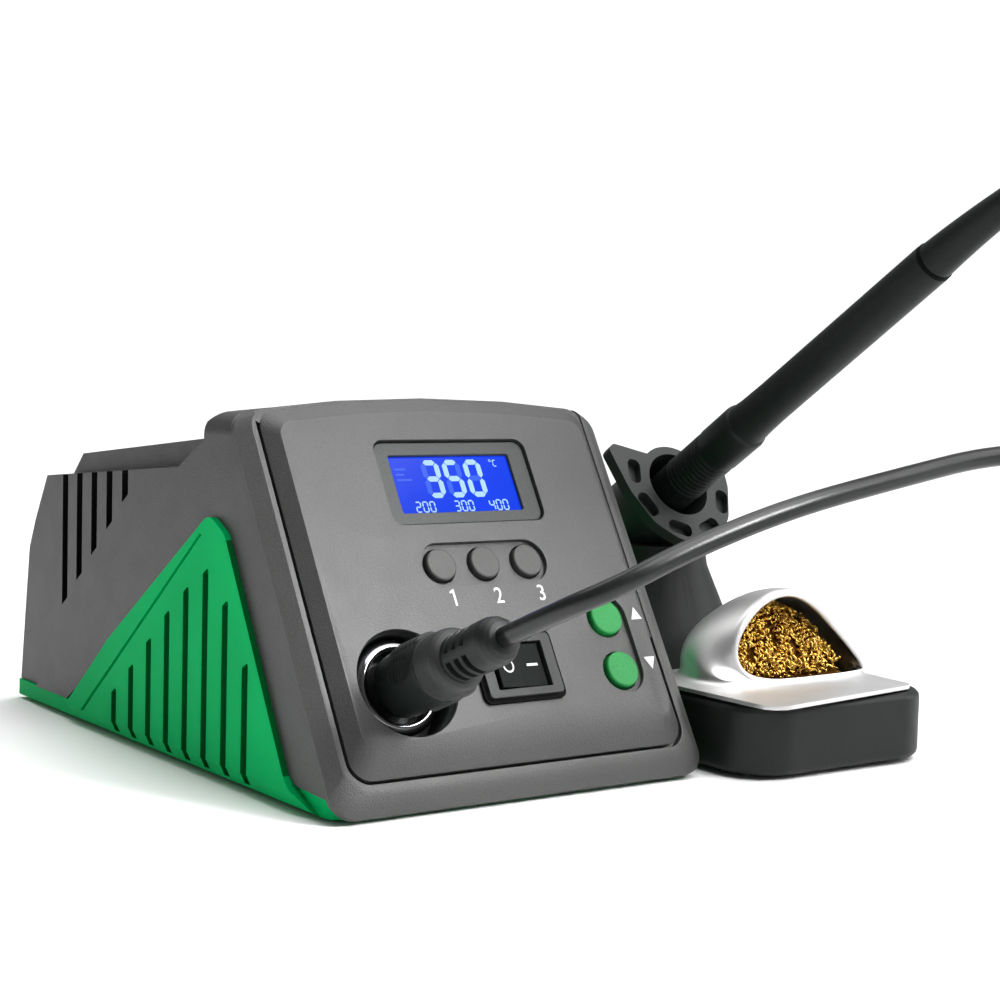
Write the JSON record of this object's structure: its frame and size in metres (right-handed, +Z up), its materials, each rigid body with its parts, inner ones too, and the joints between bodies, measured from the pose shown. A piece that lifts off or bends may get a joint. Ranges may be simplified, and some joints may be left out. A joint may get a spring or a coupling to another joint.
{
  "type": "soldering station",
  "caption": "Digital soldering station with sloped control panel, corded iron resting in a holder, and a hooded brass wool tip cleaner.",
  "frame": {"origin": "bottom centre of the bounding box of the station, stand and iron, on the bench surface, measured without the cord and its plug", "axes": "+X to the right seen from the front, +Y to the rear, +Z up"},
  "size_m": [0.1928, 0.3308, 0.1555],
  "materials": {
    "housing": "fine textured dark grey",
    "green_shell": "satin green",
    "green_button": "satin green",
    "black_plastic": "satin black",
    "gloss_black": "gloss black",
    "bezel": "satin dark grey",
    "window": "lit blue liquid crystal window",
    "board": "green circuit board",
    "dark_part": "moulded component",
    "ivory": "nylon",
    "steel": "satin",
    "bright_steel": "bright polished",
    "aluminium": "satin",
    "lamination": "varnished laminations",
    "winding": "yellow tape",
    "brass": "bright curled wool",
    "rubber": "matt black",
    "cord": "satin silicone",
    "glass": "clear",
    "tip": "plated",
    "ribbon": "grey flat cable"
  },
  "bodies": {
    "station": {"top_shell": "housing", "bottom_shell": "green_shell", "front_frame": "housing", "front_panel": "housing", "station_feet": "rubber", "display_bezel": "bezel", "display_window": "window", "display_module": "dark_part", "control_board": "board", "tact_switches": "dark_part", "switch_housing": "gloss_black", "socket_ring": "gloss_black", "socket_insert": "black_plastic", "plug_body": "rubber", "plug_relief": "rubber", "plug_barrel": "steel", "transformer_core": "lamination", "transformer_winding": "winding", "transformer_strap": "steel", "main_board": "board", "heat_sink": "aluminium", "triac": "dark_part", "capacitors": "dark_part", "terminal_block": "ivory", "ribbon_cable": "ribbon", "rear_panel": "black_plastic", "mains_inlet": "black_plastic", "inlet_pins": "steel", "board_screws": "steel", "case_screws": "steel", "stand_base": "black_plastic", "ballast_plate": "steel", "stand_feet": "rubber", "wool_tray": "black_plastic", "brass_wool": "brass", "pedestal": "black_plastic", "iron_holder": "black_plastic", "heat_tube": "steel", "holder_screw": "steel", "cord_lead": "cord", "cord_coil": "cord", "cord_tie": "rubber"},
    "preset_1_key": {"preset_button_1": "housing"},
    "preset_2_key": {"preset_button_2": "housing"},
    "preset_3_key": {"preset_button_3": "housing"},
    "down_key": {"down_button": "green_button"},
    "up_key": {"up_button": "green_button"},
    "power_rocker": {"rocker": "gloss_black"},
    "iron": {"iron_grip": "rubber", "iron_handle": "black_plastic", "iron_relief": "rubber", "iron_collar": "steel", "iron_barrel": "bright_steel", "iron_heater": "ivory", "iron_tip": "tip", "cord_riser": "cord"},
    "hood": {"cleaner_hood": "bright_steel"},
    "fuse_carrier": {"fuse_drawer": "black_plastic", "fuse": "glass"}
  },
  "joints": [
    {"name": "preset_1_press", "type": "slide", "parent": "station", "child": "preset_1_key", "axis": [0, 0.8595, -0.5111], "range_m": [0, 0.001], "stiffness_N_per_m": 300},
    {"name": "preset_2_press", "type": "slide", "parent": "station", "child": "preset_2_key", "axis": [0, 0.8595, -0.5111], "range_m": [0, 0.001], "stiffness_N_per_m": 300},
    {"name": "preset_3_press", "type": "slide", "parent": "station", "child": "preset_3_key", "axis": [0, 0.8595, -0.5111], "range_m": [0, 0.001], "stiffness_N_per_m": 300},
    {"name": "down_press", "type": "slide", "parent": "station", "child": "down_key", "axis": [0, 0.8595, -0.5111], "range_m": [0, 0.001], "stiffness_N_per_m": 300},
    {"name": "up_press", "type": "slide", "parent": "station", "child": "up_key", "axis": [0, 0.8595, -0.5111], "range_m": [0, 0.001], "stiffness_N_per_m": 300},
    {"name": "rocker_tilt", "type": "hinge", "parent": "station", "child": "power_rocker", "pos_m": [-0.0316, -0.04245, 0.02869], "axis": [0, 0.5111, 0.8595], "range_deg": [-13, 0]},
    {"name": "iron_lift", "type": "slide", "parent": "station", "child": "iron", "axis": [0, -0.8329, 0.5534], "range_m": [0, 0.09]},
    {"name": "hood_lift", "type": "slide", "parent": "station", "child": "hood", "axis": [0, 0, 1], "range_m": [0, 0.025]},
    {"name": "fuse_drawer_slide", "type": "slide", "parent": "station", "child": "fuse_carrier", "axis": [0, 0.9896, 0.1438], "range_m": [0, 0.018]}
  ]
}
